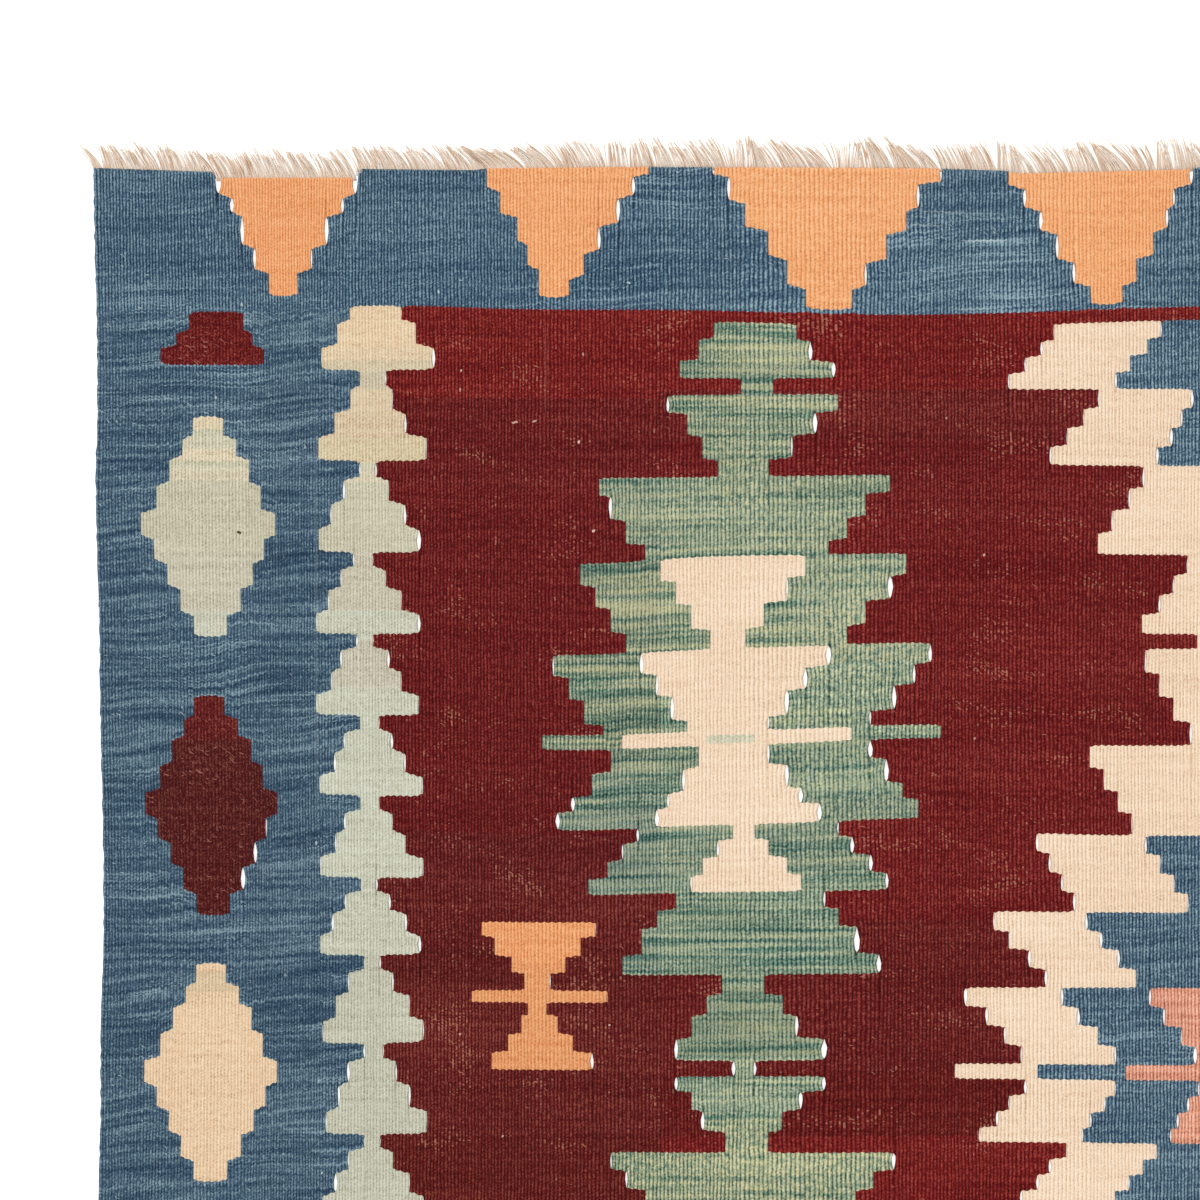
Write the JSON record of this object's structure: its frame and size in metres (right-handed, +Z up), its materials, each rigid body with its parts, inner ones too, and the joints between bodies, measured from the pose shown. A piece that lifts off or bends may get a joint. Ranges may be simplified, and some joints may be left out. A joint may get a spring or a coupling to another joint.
{
  "type": "kilim rug",
  "caption": "Flat-woven wool rug in slit tapestry, laid flat, with stepped medallions, a diamond border and short warp fringes at both ends.",
  "frame": {"origin": "on the floor under the middle of the rug", "axes": "+Z up out of the rug's face, +Y along its length to the head end"},
  "size_m": [1.3924, 2.6762, 0.0025],
  "materials": {
    "madder_wool": "matt hand-spun wool weft in ribbed slit tapestry, dyed madder red",
    "indigo_wool": "matt hand-spun wool weft dyed indigo, streaked lighter and darker",
    "apricot_wool": "matt wool weft dyed apricot orange",
    "cream_wool": "matt wool weft in undyed cream and pale grey green",
    "sage_wool": "matt wool weft dyed green, banded from teal to straw",
    "rose_wool": "matt wool weft dyed faded rose",
    "warp_wool": "matt undyed hand-spun warp yarn"
  },
  "bodies": {
    "root": {"woven_cloth": "madder_wool", "fringe_head": "warp_wool", "fringe_foot": "warp_wool"}
  },
  "joints": []
}
